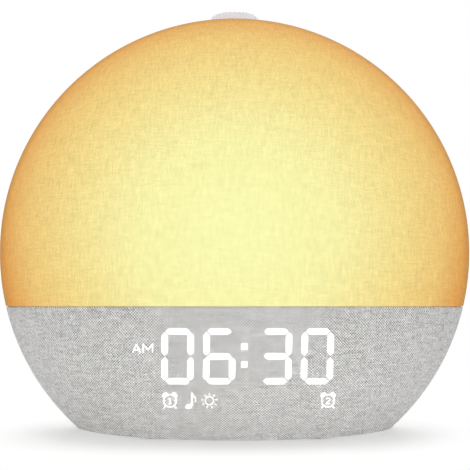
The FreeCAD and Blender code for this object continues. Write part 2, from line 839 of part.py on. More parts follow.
def tact_switches():
    half = switch_size / 2
    switches = []
    for x, z in button_spots():
        body = box(x - half, x + half, button_board_front, switch_top, z - half, z + half)
        switches.append(body.cut(rod_y(x, z, switch_top - switch_bore_depth, big, stem_radius + piece_gap)))
    return Part.makeCompound(switches)


def button_board():
    """A curved strip of board under the arc of buttons."""
    y0 = button_board_front - board_thickness
    strip = ring_y(0, axis_height, y0, button_board_front,
                   button_ring + button_board_half_width, button_ring - button_board_half_width)
    reach = 2 * disc_radius
    side = [about_axis(-button_board_half_angle, reach), about_axis(button_board_half_angle, reach)]
    points = [Vector(0, y0 - past, axis_height)] + [Vector(x, y0 - past, z) for x, z in side]
    wedge = Part.Face(Part.makePolygon(points + points[:1])).extrude(Vector(0, board_thickness + 2 * past, 0))
    holes = [rod_y(x, z, 0, big, small_screw[0] + piece_gap) for x, z in button_bosses()]
    return minus(strip.common(wedge), holes)


def button_board_screws():
    y = button_board_front - board_thickness
    places = [(x, y, z) for x, z in button_bosses()]
    return Part.makeCompound([screw(small_screw, button_board_screw_length, p, (0, 1, 0)) for p in places])


# speaker

def speaker_flange_front():
    return inner_back_y - gasket_thickness - speaker_flange


def speaker_pilot_end():
    return inner_back_y + speaker_pilot_depth


def speaker_screws_at():
    spots = []
    for angle in speaker_screw_angles:
        a = math.radians(angle)
        spots.append((speaker_screw_ring * math.cos(a), speaker_height + speaker_screw_ring * math.sin(a)))
    return spots


def speaker_grille():
    """A perforated disc with its holes in rings of six, twelve and eighteen round one."""
    disc = rod_y(0, speaker_height, back_y - grille_thickness, back_y, grille_radius)
    holes = [rod_y(0, speaker_height, 0, big, grille_hole_radius)]
    for ring in range(1, grille_rings + 1):
        for k in range(6 * ring):
            a = 2 * math.pi * k / (6 * ring)
            x, z = ring * grille_pitch * math.cos(a), ring * grille_pitch * math.sin(a)
            holes.append(rod_y(x, speaker_height + z, 0, big, grille_hole_radius))
    return minus(disc, holes)


def speaker_gasket():
    return ring_y(0, speaker_height, inner_back_y - gasket_thickness, inner_back_y,
                  speaker_radius, speaker_radius - speaker_rim + piece_gap)


def speaker_frame():
    y0 = speaker_flange_front()
    rim_inner = speaker_radius - speaker_rim
    throat_y = y0 - basket_depth
    outline = [
        (speaker_radius, y0 + speaker_flange), (speaker_radius, y0), (rim_inner + basket_wall, y0),
        (magnet_radius + basket_throat_gap, throat_y), (coil_radius + coil_gap, throat_y),
        (coil_radius + coil_gap, throat_y + basket_floor),
        (magnet_radius - piece_gap, throat_y + basket_floor),
        (rim_inner, y0), (rim_inner, y0 + speaker_flange),
    ]
    frame = turned(outline, speaker_height)
    windows = []
    for k in range(basket_windows):
        half = spoke_window_width / 2
        start_y = throat_y + 2 * basket_floor
        inner = magnet_radius - basket_floor
        window = box(-half, half, start_y, y0 - speaker_flange, inner, 2 * speaker_radius)
        turn = Rotation(Vector(0, 1, 0), 360 * k / basket_windows)
        window.Placement = Placement(Vector(0, 0, speaker_height), turn)
        windows.append(window)
    return minus(frame, windows)


def speaker_cone():
    y0 = speaker_flange_front()
    rim = speaker_radius - speaker_rim - skin_gap
    t = cone_thickness
    neck_y = y0 - cone_depth
    coil_y = y0 - basket_depth + piece_gap
    outline = [
        (rim, y0 + speaker_flange), (rim - t, y0 + speaker_flange),
        (coil_radius, neck_y + t), (0, neck_y + cap_rise + t),
        (0, neck_y + cap_rise), (coil_radius - t, neck_y), (coil_radius - t, coil_y), (coil_radius, coil_y),
        (coil_radius, neck_y - t / 2), (rim, y0 + speaker_flange / 2),
    ]
    return turned(outline, speaker_height)


def speaker_magnet():
    y1 = speaker_flange_front() - basket_depth
    return rod_y(0, speaker_height, y1 - magnet_thickness, y1, magnet_radius)


def speaker_screws():
    y = speaker_flange_front()
    return Part.makeCompound([
        screw(speaker_screw, speaker_screw_length, (x, y, z), (0, 1, 0)) for x, z in speaker_screws_at()
    ])


# main board and power inlet

def main_board():
    board = box(board_left, board_right, board_front, board_rear, main_board_underside, board_top)
    return minus(board, [rod_z(x, y, 0, big, small_screw[0] + piece_gap) for x, y in main_board_screws])


def main_board_screw_group():
    places = [(x, y, board_top) for x, y in main_board_screws]
    return Part.makeCompound([screw(small_screw, main_board_screw_length, p, (0, 0, -1)) for p in places])


def on_board(place, size):
    x, y = place
    w, d, h = size
    return box(x - w / 2, x + w / 2, y - d / 2, y + d / 2, board_top, board_top + h)


def capacitors():
    return Part.makeCompound([
        rod_z(x, y, board_top, board_top + capacitor_height, capacitor_radius) for x, y in capacitor_places
    ])


def jack_height():
    return board_top + jack_size[2] / 2


def jack_mouth_y():
    return back_y - piece_gap


def dc_jack():
    w, d, h = jack_size
    y1 = inner_back_y - piece_gap
    body = box(jack_x - w / 2, jack_x + w / 2, y1 - d, y1, board_top, board_top + h)
    nose = rod_y(jack_x, jack_height(), y1, jack_mouth_y(), jack_nose_radius)
    bore = rod_y(jack_x, jack_height(), jack_mouth_y() - jack_bore_depth, big, jack_bore_radius)
    return body.fuse(nose).cut(bore)


def dc_jack_pin():
    y1 = jack_mouth_y()
    return rod_y(jack_x, jack_height(), y1 - jack_bore_depth, y1 - jack_pin_setback, jack_pin_radius)


def cell_holder():
    x, y = cell_place
    z0 = board_top
    cup = rod_z(x, y, z0, z0 + holder_floor + holder_depth, cell_radius + piece_gap + holder_wall)
    return cup.cut(rod_z(x, y, z0 + holder_floor, big, cell_radius + piece_gap))


def coin_cell():
    x, y = cell_place
    z0 = board_top + holder_floor
    return rod_z(x, y, z0, z0 + cell_thickness, cell_radius)


def main():
    os.makedirs("parts", exist_ok=True)
    pieces = {
        "lamp_fabric": lamp_fabric, "base_fabric": base_fabric, "lamp_diffuser": lamp_diffuser,
        "base_shell": base_shell, "divider_shelf": divider_shelf, "chassis": chassis,
        "rear_housing": rear_housing, "bottom_plate": bottom_plate, "base_screws": base_screws,
        "rear_screws": rear_screws, "reflector": reflector, "led_board": led_board, "lamp_leds": lamp_leds,
        "led_screws": led_screws, "display_block": display_block, "display_film": display_film,
        "display_board": display_board, "display_leds": display_leds, "knob": knob,
        "encoder_shaft": encoder_shaft, "encoder_plunger": encoder_plunger, "encoder_body": encoder_body,
        "encoder_nut": encoder_nut, "encoder_board": encoder_board, "tact_switches": tact_switches,
        "button_board": button_board, "button_board_screws": button_board_screws,
        "speaker_grille": speaker_grille, "speaker_gasket": speaker_gasket, "speaker_frame": speaker_frame,
        "speaker_cone": speaker_cone, "speaker_magnet": speaker_magnet, "speaker_screws": speaker_screws,
        "main_board": main_board, "main_board_screws": main_board_screw_group, "capacitors": capacitors,
        "dc_jack": dc_jack, "dc_jack_pin": dc_jack_pin, "cell_holder": cell_holder, "coin_cell": coin_cell,
    }
    for name, make in pieces.items():
        write(name, make())
    write("controller_chip", on_board(controller_place, controller_size))
    write("amplifier_chip", on_board(amplifier_place, amplifier_size))
    for end, (x, y) in (("front", front_foot_place), ("rear", rear_foot_place)):
        write("foot_" + end + "_left", foot(-x, y))
        write("foot_" + end + "_right", foot(x, y))
    for name, (x, z) in zip(button_names, button_spots()):
        write("button_" + name, button_cap(x, z))
        write("stem_" + name, button_stem(x, z))


main()
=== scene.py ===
"""Looks for the sunrise alarm clock: stretched linen, the light behind it, and moulded plastics.

Metres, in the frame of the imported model: the clock faces -Y, +Z is up, +X is to its right.
"""
import json
import math

import bpy
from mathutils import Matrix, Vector


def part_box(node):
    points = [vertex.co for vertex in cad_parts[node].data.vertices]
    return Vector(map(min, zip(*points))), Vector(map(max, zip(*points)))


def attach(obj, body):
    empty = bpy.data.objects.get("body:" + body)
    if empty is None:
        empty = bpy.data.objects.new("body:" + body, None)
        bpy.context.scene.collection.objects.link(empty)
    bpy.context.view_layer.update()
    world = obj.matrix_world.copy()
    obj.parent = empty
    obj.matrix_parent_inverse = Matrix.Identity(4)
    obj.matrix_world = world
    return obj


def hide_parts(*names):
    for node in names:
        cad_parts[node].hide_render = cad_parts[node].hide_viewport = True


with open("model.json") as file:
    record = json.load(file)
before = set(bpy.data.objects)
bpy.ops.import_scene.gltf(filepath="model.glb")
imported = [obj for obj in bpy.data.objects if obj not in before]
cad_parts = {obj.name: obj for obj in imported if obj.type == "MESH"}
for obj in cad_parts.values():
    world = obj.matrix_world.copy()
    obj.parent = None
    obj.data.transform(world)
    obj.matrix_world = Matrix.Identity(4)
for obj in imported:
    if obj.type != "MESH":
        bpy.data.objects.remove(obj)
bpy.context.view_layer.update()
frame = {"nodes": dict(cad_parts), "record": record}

MM = 0.001

# the dome, read from the frame
lamp_low, lamp_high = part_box("lamp_fabric")
base_low, base_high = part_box("base_fabric")
RADIUS = lamp_high[0]
RIM_Y = lamp_high[1]
DEPTH = RIM_Y - lamp_low[1]
AXIS_Z = lamp_high[2] - RADIUS
SEAM_Z = (lamp_low[2] + base_high[2]) / 2
BASE_Z = base_low[2]

# the photograph's frame and camera
IMAGE_SIZE = 470
FOCAL_PIXELS = 847.7
CAMERA_DISTANCE = 0.308       # from the rim plane
CAMERA_TILT = math.radians(4.83)
CAMERA_SIDE = 0.00015
SENSOR = 36.0

# the display's light, in millimetres on a plane that leans with the dome
DISPLAY_TILT = math.radians(12.0)
DISPLAY_PLACE = Vector((0.0, -22.5, 26.4)) * MM
DIGIT_HEIGHT = 18.4
DIGIT_WIDTH = 10.4
DIGIT_LEAN = math.tan(math.radians(0.8))
DIGIT_UP = 1.1
DIGIT_COLUMNS = (-18.1, -4.85, 13.1, 26.35)
SEGMENT_WIDTH = 2.15
SEGMENT_GAP = 0.22
COLON_COLUMN = 3.1
COLON_UP = 1.45
COLON_HALF_PITCH = 2.95
SHOWN_DIGITS = "0630"
SEGMENTS_OF = {"0": "abcdef", "3": "abgcd", "6": "acdefg"}


def linear(value):
    """A display value from 0 to 255 as linear light."""
    c = value / 255
    return c / 12.92 if c <= 0.04045 else ((c + 0.055) / 1.055) ** 2.4


def rgb(red, green, blue):
    return (linear(red), linear(green), linear(blue), 1.0)


class Shader:
    """The node tree of a new material, or of a world, with short calls for the nodes used here."""

    def __init__(self, name, world=None):
        self.material = world or bpy.data.materials.new(name)
        self.material.use_nodes = True
        self.tree = self.material.node_tree
        self.tree.nodes.clear()
        self.output = self.tree.nodes.new("ShaderNodeOutputWorld" if world else "ShaderNodeOutputMaterial")

    def link(self, source, target):
        self.tree.links.new(source, target)

    def feed(self, socket, value):
        if isinstance(value, bpy.types.NodeSocket):
            self.link(value, socket)
        else:
            socket.default_value = value

    def node(self, kind, **settings):
        made = self.tree.nodes.new(kind)
        for key, value in settings.items():
            setattr(made, key, value)
        return made

    def math(self, operation, first, second=0.0):
        made = self.node("ShaderNodeMath", operation=operation)
        for socket, value in zip(made.inputs, (first, second)):
            self.feed(socket, value)
        return made.outputs[0]

    def reach(self, first, second):
        """The length of the two values taken as the sides of a right angle."""
        squares = self.math("ADD", self.math("MULTIPLY", first, first), self.math("MULTIPLY", second, second))
        return self.math("SQRT", squares)

    def position(self):
        return self.node("ShaderNodeTexCoord").outputs["Object"]

    def split(self, vector):
        made = self.node("ShaderNodeSeparateXYZ")
        self.link(vector, made.inputs[0])
        return made.outputs

    def join(self, x, y, z):
        made = self.node("ShaderNodeCombineXYZ")
        for socket, value in zip(made.inputs, (x, y, z)):
            self.feed(socket, value)
        return made.outputs[0]

    def noise(self, vector, scale, detail):
        made = self.node("ShaderNodeTexNoise")
        self.link(vector, made.inputs["Vector"])
        made.inputs["Scale"].default_value = scale
        made.inputs["Detail"].default_value = detail
        return made.outputs["Fac"]

    def ramp(self, factor, stops):
        """A colour ramp from (position, colour) stops."""
        made = self.node("ShaderNodeValToRGB")
        elements = made.color_ramp.elements
        while len(elements) < len(stops):
            elements.new(0.5)
        for element, (place, colour) in zip(elements, stops):
            element.position = place
            element.color = colour
        self.feed(made.inputs[0], factor)
        return made.outputs[0]

    def span(self, value, low, high, to_low=0.0, to_high=1.0):
        made = self.node("ShaderNodeMapRange")
        for socket, number in zip(made.inputs, (value, low, high, to_low, to_high)):
            self.feed(socket, number)
        return made.outputs[0]

    def blend(self, mode, factor, first, second):
        made = self.node("ShaderNodeMix", data_type="RGBA", blend_type=mode)
        self.feed(made.inputs[0], factor)
        self.feed(made.inputs[6], first)
        self.feed(made.inputs[7], second)
        return made.outputs[2]

    def blend_value(self, factor, first, second):
        made = self.node("ShaderNodeMix", data_type="FLOAT")
        for socket, value in zip(made.inputs, (factor, None, first, second)):
            if value is not None:
                self.feed(socket, value)
        return made.outputs[0]

    def bump(self, height, distance, strength=1.0):
        made = self.node("ShaderNodeBump")
        made.inputs["Strength"].default_value = strength
        made.inputs["Distance"].default_value = distance
        self.link(height, made.inputs["Height"])
        return made.outputs["Normal"]

    def principled(self, **inputs):
        made = self.node("ShaderNodeBsdfPrincipled")
        for key, value in inputs.items():
            self.feed(made.inputs[key.replace("_", " ")], value)
        self.link(made.outputs[0], self.output.inputs["Surface"])
        return made


# linen

THREAD = 0.455                # pitch of the threads, in millimetres of cloth
TONE_STEP = 1.7               # how far apart in the noise two neighbouring threads take their tones
WARP_CHANGE = 0.25            # how fast a thread's tone changes along it, per millimetre
WEFT_CHANGE = 0.2
WOBBLE_SCALE = 0.3            # how often the threads stray from straight lines, per millimetre
WOBBLE_ACROSS = 0.6           # how far they stray, in millimetres
WOBBLE_UP = 0.4
FUZZ_SCALE = 1500.0           # scale of the loose fibres' noise, per metre


def thread_tones(shader, across, along, change, seed):
    """A tone from 0 to 1 for each thread, with its rate of change along the thread; places in millimetres."""
    number = shader.math("FLOOR", shader.math("DIVIDE", across, THREAD))
    tone_place = shader.math("MULTIPLY", number, TONE_STEP)
    own = shader.join(tone_place, shader.math("MULTIPLY", along, change), seed)
    return shader.noise(own, 1.0, 1.0)


def weave(shader):
    """(checker from -1 to 1, warp tone, weft tone, height) of a plain weave on the cloth's own threads."""
    threads = shader.node("ShaderNodeUVMap", uv_map="threads").outputs[0]
    wobble = shader.noise(threads, WOBBLE_SCALE, 2.0)
    u, v, _ = shader.split(threads)
    u = shader.math("ADD", u, shader.math("MULTIPLY", wobble, WOBBLE_ACROSS))
    v = shader.math("ADD", v, shader.math("MULTIPLY", wobble, WOBBLE_UP))
    wave_u = shader.math("SINE", shader.math("MULTIPLY", u, math.pi / THREAD))
    wave_v = shader.math("SINE", shader.math("MULTIPLY", v, math.pi / THREAD))
    checker = shader.math("MULTIPLY", wave_u, wave_v)
    warp = thread_tones(shader, u, v, WARP_CHANGE, seed=0.0)
    weft = thread_tones(shader, v, u, WEFT_CHANGE, seed=3.0)
    return checker, warp, weft, shader.math("ABSOLUTE", checker)


def contrast(shader, parts, centre=1.0):
    """Adds (signal, mean, amount) parts into one factor about a centre."""
    total = centre
    for signal, mean, amount in parts:
        change = shader.math("MULTIPLY", shader.math("SUBTRACT", signal, mean), amount)
        total = shader.math("ADD", change, total)
    return total


def grey(shader, value):
    return shader.join(value, value, value)


def base_linen():
    """Grey linen: the thread that lies on top at a place gives its tone."""
    s = Shader("grey_linen")
    checker, warp, weft, height = weave(s)
    on_top = s.span(checker, -1.0, 1.0)
    thread = s.blend_value(on_top, weft, warp)
    fuzz = s.noise(s.position(), FUZZ_SCALE, 2.0)
    factor = contrast(s, [(checker, 0.0, 0.66), (thread, 0.5, 0.9), (weft, 0.5, 0.25), (fuzz, 0.5, 1.1)])
    tone = s.ramp(s.noise(s.position(), 30.0, 3.0), [(0.3, rgb(196, 195, 193)), (0.7, rgb(202, 201, 200))])
    colour = s.blend("MULTIPLY", 1.0, tone, grey(s, factor))
    s.principled(Base_Color=colour, Roughness=0.92, Specular_IOR_Level=0.15, Sheen_Weight=0.08,
                 Sheen_Roughness=0.5, Normal=s.bump(height, 0.00012, 0.5))
    return s.material


# the lamp's glow: lemon over the lamp and amber towards the rim,
# by the distance from the disc axis over the radius
GLOW_LEMON = (250, 249, 178)
GLOW_YELLOW = (248, 243, 170)
GLOW_STRAW = (243, 222, 144)
GLOW_GOLD = (236, 198, 120)
GLOW_AMBER = (222, 158, 80)
GLOW_STOPS = (
    (0.1, GLOW_LEMON),
    (0.36, GLOW_YELLOW),
    (0.61, GLOW_STRAW),
    (0.82, GLOW_GOLD),
    (0.97, GLOW_AMBER),
)
# painted shade: the glow is made to fall off sooner beside the shelf at the seam
SHELF_SHADE = 0.06            # how much sooner the glow falls off beside the shelf at the seam
SHELF_FADE = 0.25             # how far above and below the disc axis that shade fades, over the radius
# painted shade: the glow is darkened towards the rim, where the cloth turns away from the light
RIM_START = 0.92              # where the cloth starts to turn away from the light at the rim, over the radius
RIM_LEFT = 0.52               # how much of the glow is left at the rim itself
WEAVE_AT_LAMP = 0.5           # how much of the weave still shows where the light is strongest
WEAVE_RETURNS = (0.1, 0.65)   # where it starts to come back and is back in full, over the radius
LAMP_CLOTH = (0.09, 0.08, 0.045)   # what the cloth itself reflects of the room's light


def lamp_glow(shader, side, rise):
    """The light that comes through, less what the cloth reflects; the place is given over the radius."""
    distance = shader.reach(side, rise)
    # painted shade beside the shelf at the seam
    shelf = shader.span(rise, -SHELF_FADE, SHELF_FADE, 1.0 + SHELF_SHADE, 1.0)
    stops = []
    for place, colour in GLOW_STOPS:
        left = [max(linear(c) - r, 0.0) for c, r in zip(colour, LAMP_CLOTH)]
        stops.append((place, tuple(left) + (1.0,)))
    glow = shader.ramp(shader.math("MULTIPLY", distance, shelf), stops)
    # painted shade towards the rim
    rim = shader.span(distance, RIM_START, 1.0, 1.0, RIM_LEFT)
    return shader.blend("MULTIPLY", 1.0, glow, grey(shader, rim))


def lamp_linen():
    """The same linen in a pale straw colour, with the lamp's light coming through it."""
    s = Shader("lamp_linen")
    checker, warp, weft, height = weave(s)
    x, _, z = s.split(s.position())
    side = s.math("DIVIDE", x, RADIUS)
    rise = s.math("DIVIDE", s.math("SUBTRACT", z, AXIS_Z), RADIUS)
    washed = s.span(s.reach(side, rise), *WEAVE_RETURNS, WEAVE_AT_LAMP, 1.0)
    fuzz = s.noise(s.position(), FUZZ_SCALE, 2.0)
    parts = [(checker, 0.0, 0.13), (warp, 0.5, 0.34), (weft, 0.5, 0.26), (fuzz, 0.5, 0.25)]
    threads = contrast(s, parts, centre=0.0)
    factor = s.math("ADD", s.math("MULTIPLY", threads, washed), 1.0)
    glow = s.blend("MULTIPLY", 1.0, lamp_glow(s, side, rise), grey(s, factor))
    cloth = s.blend("MULTIPLY", 1.0, LAMP_CLOTH + (1.0,), grey(s, factor))
    s.principled(Base_Color=cloth, Roughness=0.92, Specular_IOR_Level=0.15, Emission_Color=glow,
                 Emission_Strength=1.0, Normal=s.bump(height, 0.0001, 0.4))
    return s.material


def display_light():
    """White light that shines through the threads."""
    s = Shader("display_light")
    checker, warp, weft, height = weave(s)
    factor = contrast(s, [(checker, 0.0, 0.07), (warp, 0.5, 0.25), (weft, 0.5, 0.25)], 0.9)
    s.principled(Base_Color=(0.3, 0.3, 0.3, 1.0), Roughness=0.9, Specular_IOR_Level=0.1,
                 Emission_Color=grey(s, factor), Emission_Strength=1.0, Normal=s.bump(height, 0.0001, 0.3))
    return s.material


# moulded, metal and other small materials

def darker(colour, share):
    """The colour with that share of its light taken away."""
    return tuple(c * (1 - share) for c in colour[:3]) + (1.0,)


def moulded(name, colour, roughness=0.5, grain=900.0, relief=0.00002, tint=0.04):
    """Moulded plastic: a fine spark texture, and a faint change of tone across the moulding."""
    s = Shader(name)
    place = s.position()
    drift = s.noise(place, 14.0, 3.0)
    tone = s.ramp(drift, [(0.3, darker(colour, tint)), (0.7, colour)])
    texture = s.noise(place, grain, 2.0)
    gloss = s.span(s.noise(place, 60.0, 3.0), 0.3, 0.7, roughness - 0.05, roughness + 0.06)
    s.principled(Base_Color=tone, Roughness=gloss, Normal=s.bump(texture, relief, 0.5))
    return s.material


def metal(name, colour, roughness=0.3, streak=400.0):
    """Plated or turned metal with fine uneven polish."""
    s = Shader(name)
    place = s.position()
    polish = s.noise(place, streak, 3.0)
    gloss = s.span(polish, 0.3, 0.7, roughness - 0.07, roughness + 0.1)
    tone = s.ramp(s.noise(place, 40.0, 2.0), [(0.3, darker(colour, 0.08)), (0.7, colour)])
    s.principled(Base_Color=tone, Metallic=1.0, Roughness=gloss, Normal=s.bump(polish, 0.00001, 0.3))
    return s.material


MAKERS = {
    "lamp_linen": lamp_linen,
    "grey_linen": base_linen,
    "opal_plastic": lambda: moulded("opal_plastic", rgb(245, 243, 236), 0.4),
    "white_abs": lambda: moulded("white_abs", rgb(238, 238, 235), 0.5),
    "housing_plastic": lambda: moulded("housing_plastic", rgb(232, 232, 229), 0.55, 700.0, 0.00003),
    "knob_plastic": lambda: moulded("knob_plastic", rgb(243, 243, 246), 0.45, 900.0, 0.00001),
    "button_plastic": lambda: moulded("button_plastic", rgb(214, 214, 212), 0.45),
    "grille_plastic": lambda: moulded("grille_plastic", rgb(150, 150, 150), 0.55),
    "foam_rubber": lambda: moulded("foam_rubber", rgb(50, 50, 50), 0.9, 1500.0, 0.0001),
    "pressed_steel": lambda: metal("pressed_steel", rgb(190, 190, 190), 0.35),
    "cone_paper": lambda: moulded("cone_paper", rgb(48, 47, 46), 0.9, 1200.0, 0.00006, 0.2),
    "ferrite": lambda: moulded("ferrite", rgb(62, 62, 64), 0.6, 1200.0, 0.00003, 0.15),
    "film": lambda: moulded("film", rgb(222, 222, 222), 0.35),
    "shaft_steel": lambda: metal("shaft_steel", rgb(200, 200, 198), 0.25),
    "brass_nut": lambda: metal("brass_nut", rgb(214, 190, 132), 0.3),
    "black_plastic": lambda: moulded("black_plastic", rgb(38, 38, 39), 0.4),
    "pin_brass": lambda: metal("pin_brass", rgb(222, 196, 130), 0.25),
    "cell_steel": lambda: metal("cell_steel", rgb(212, 212, 210), 0.25),
    "capacitor_aluminium": lambda: metal("capacitor_aluminium", rgb(205, 205, 208), 0.3),
    "led_plastic": lambda: moulded("led_plastic", rgb(246, 226, 150), 0.3),
    "green_board": lambda: moulded("green_board", rgb(38, 108, 66), 0.35, 300.0, 0.00001, 0.15),
    "white_board": lambda: moulded("white_board", rgb(236, 236, 232), 0.35, 300.0, 0.00001),
    "screw_steel": lambda: metal("screw_steel", rgb(150, 150, 152), 0.35),
    "foot_rubber": lambda: moulded("foot_rubber", rgb(70, 70, 70), 0.8, 1200.0, 0.00003, 0.1),
}
MATERIALS = {name: make() for name, make in MAKERS.items()}


def dress_frame():
    """Gives each CAD node the material of its slot in the record."""
    for part in frame["record"]["subparts"]:
        mesh = frame["nodes"][part["node"]].data
        mesh.materials.clear()
        mesh.materials.append(MATERIALS[part["material_slot"]])


# the dome's surface: across is the angle to the side of the front, up is the angle above the disc axis

def dome_outline():
    """The dome's outline as three tangent arcs: (where it starts from the axis, its centre, its radius)."""
    tight, loose = DEPTH ** 2 / RADIUS, RADIUS ** 2 / DEPTH
    medium = (RADIUS + DEPTH) / 2
    tip = Vector((RADIUS - tight, 0.0))
    crown = Vector((0.0, DEPTH - loose))
    way = (tip - crown).normalized()
    reach = loose - medium
    length = (tip - crown).length
    along = (reach ** 2 - (medium - tight) ** 2 + length ** 2) / (2 * length)
    middle = crown + way * along + Vector((-way.y, way.x)) * math.sqrt(reach ** 2 - along ** 2)
    outer_start = tip.x + (tip - middle).normalized().x * tight
    middle_start = middle.x + (middle - crown).normalized().x * medium
    return [(outer_start, tip, tight), (middle_start, middle, medium), (0.0, crown, loose)]


DOME_ARCS = dome_outline()


def dome_depth(distance):
    """How far the dome stands ahead of the rim at a distance from the disc axis."""
    _, centre, bend = next(arc for arc in DOME_ARCS if distance >= arc[0])
    return centre.y + math.sqrt(max(bend ** 2 - (distance - centre.x) ** 2, 0.0))


def dome_place(across, up):
    x = RADIUS * math.cos(up) * math.sin(across)
    rise = RADIUS * math.sin(up)
    return Vector((x, RIM_Y - dome_depth(math.hypot(x, rise)), AXIS_Z + rise))


def dome_normal(place):
    """The way out of the dome, taken from the ellipsoid that its arcs follow."""
    slope = Vector((place.x / RADIUS ** 2, (place.y - RIM_Y) / DEPTH ** 2, (place.z - AXIS_Z) / RADIUS ** 2))
    return slope.normalized()


ARC_STEPS = 400


def arc_lengths():
    """Lengths from the front along the ellipse that the arcs follow, in millimetres, one for each step."""
    step = math.pi / 2 / ARC_STEPS
    lengths = [0.0]
    for i in range(ARC_STEPS):
        a = (i + 0.5) * step
        lengths.append(lengths[-1] + math.hypot(RADIUS * math.cos(a), DEPTH * math.sin(a)) * step / MM)
    return lengths


ARC = arc_lengths()


def arc_length(angle):
    """Length along the ellipse from its front to an angle, negative to the other side."""
    t = min(abs(angle) / (math.pi / 2), 1.0) * ARC_STEPS
    i = min(int(t), ARC_STEPS - 1)
    return math.copysign(ARC[i] + (ARC[i + 1] - ARC[i]) * (t - i), angle)


def thread_place(across, up):
    """Where a point of the dome lies on the cloth, counted along its weft and its warp."""
    return (math.cos(up) * arc_length(across), arc_length(up))


def build_mesh(name, places, faces, threads, material):
    """A mesh object with a threads map, one thread place for each vertex."""
    mesh = bpy.data.meshes.new(name)
    mesh.from_pydata([tuple(p) for p in places], [], faces)
    layer = mesh.uv_layers.new(name="threads")
    for loop in mesh.loops:
        layer.data[loop.index].uv = threads[loop.vertex_index]
    mesh.materials.append(material)
    mesh.polygons.foreach_set("use_smooth", [True] * len(mesh.polygons))
    made = bpy.data.objects.new(name, mesh)
    bpy.context.scene.collection.objects.link(made)
    return made


TUCK = 0.45 * MM              # how far the cloth turns in at its edges
TUCK_STEPS = 3
CLOTH_THICKNESS = 0.3 * MM
CLOTH_COLUMNS = 200
LAMP_ROWS = 150
BASE_ROWS = 70
SEAM_HALF_GAP = 0.05 * MM     # between each cloth and the seam


def tuck_steps():
    """(inward, onward) of the rounded edge where the cloth turns in."""
    return [(TUCK * (1 - math.cos(a)), TUCK * math.sin(a))
            for a in (math.pi / 2 * k / TUCK_STEPS for k in range(1, TUCK_STEPS + 1))]


def cloth(name, node, low_z, high_z, rows, material):
    """One stretched piece of linen on the dome between two heights, its edges turned in."""
    up_low = math.asin(max((low_z + TUCK - AXIS_Z) / RADIUS, -1.0))
    closed_top = high_z >= AXIS_Z + RADIUS - TUCK
    up_high = math.pi / 2 if closed_top else math.asin((high_z - TUCK - AXIS_Z) / RADIUS)
    bands = [(up_low, i, -o) for i, o in reversed(tuck_steps())]
    bands += [(up_low + (up_high - up_low) * r / rows, 0.0, 0.0) for r in range(rows + 1)]
    if not closed_top:
        bands += [(up_high, i, o) for i, o in tuck_steps()]
    right = math.pi / 2
    lines = [(-right, i, o) for i, o in reversed(tuck_steps())]
    lines += [(-right + 2 * right * c / CLOTH_COLUMNS, 0.0, 0.0) for c in range(CLOTH_COLUMNS + 1)]
    lines += [(right, i, o) for i, o in tuck_steps()]
    places, threads = [], []
    for up, sink, climb in bands:
        for across, inward, back in lines:
            place = dome_place(across, min(up, math.pi / 2 - 1e-4))
            place = place - dome_normal(place) * (sink + inward) + Vector((0, back, climb))
            places.append(place)
            u, v = thread_place(across, up)
            threads.append((u + math.copysign(back / MM, across), v + climb / MM))
    width = len(lines)
    faces = [(r * width + c, r * width + c + 1, (r + 1) * width + c + 1, (r + 1) * width + c)
             for r in range(len(bands) - 1) for c in range(width - 1)]
    made = build_mesh(name, places, faces, threads, material)
    thick = made.modifiers.new("thickness", "SOLIDIFY")
    thick.thickness = CLOTH_THICKNESS
    thick.offset = -1.0
    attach(made, "root")
    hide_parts(node)
    return made


def make_cloths():
    """The lamp's linen and the base's linen, which meet at the seam."""
    top = AXIS_Z + RADIUS
    lamp = cloth("lamp_linen_cloth", "lamp_fabric", SEAM_Z + SEAM_HALF_GAP, top, LAMP_ROWS,
                 MATERIALS["lamp_linen"])
    base = cloth("base_linen_cloth", "base_fabric", BASE_Z, SEAM_Z - SEAM_HALF_GAP, BASE_ROWS,
                 MATERIALS["grey_linen"])


# the display's light on the cloth

LIFT = 0.06 * MM              # how far the light lies over the cloth
VIEWER = Vector((CAMERA_SIDE, RIM_Y - CAMERA_DISTANCE, SEAM_Z))
UPRIGHT = Vector((0.0, -math.sin(DISPLAY_TILT), math.cos(DISPLAY_TILT)))
STEP = 0.7                    # longest stretch of a stroke that stays straight, in millimetres
POINT_WIDTH = 0.02            # half the width left where a stroke is drawn to a point, in millimetres
SIGHT_STEPS = 12              # steps along the line of sight towards the dome, each nearer to it


def on_cloth(x, z):
    """Where a viewer in front sees (x, z) of the display plane on the cloth, and its thread place."""
    place = DISPLAY_PLACE + Vector((x * MM, 0, 0)) + UPRIGHT * (z * MM)
    sight = (VIEWER - place).normalized()
    for _ in range(SIGHT_STEPS):
        surface = RIM_Y - dome_depth(math.hypot(place.x, place.z - AXIS_Z))
        place = place + sight * ((surface - place.y) / sight.y)
    up = math.asin((place.z - AXIS_Z) / RADIUS)
    across = math.asin(max(-1.0, min(1.0, place.x / (RADIUS * math.cos(up)))))
    return place + dome_normal(place) * LIFT, thread_place(across, up)


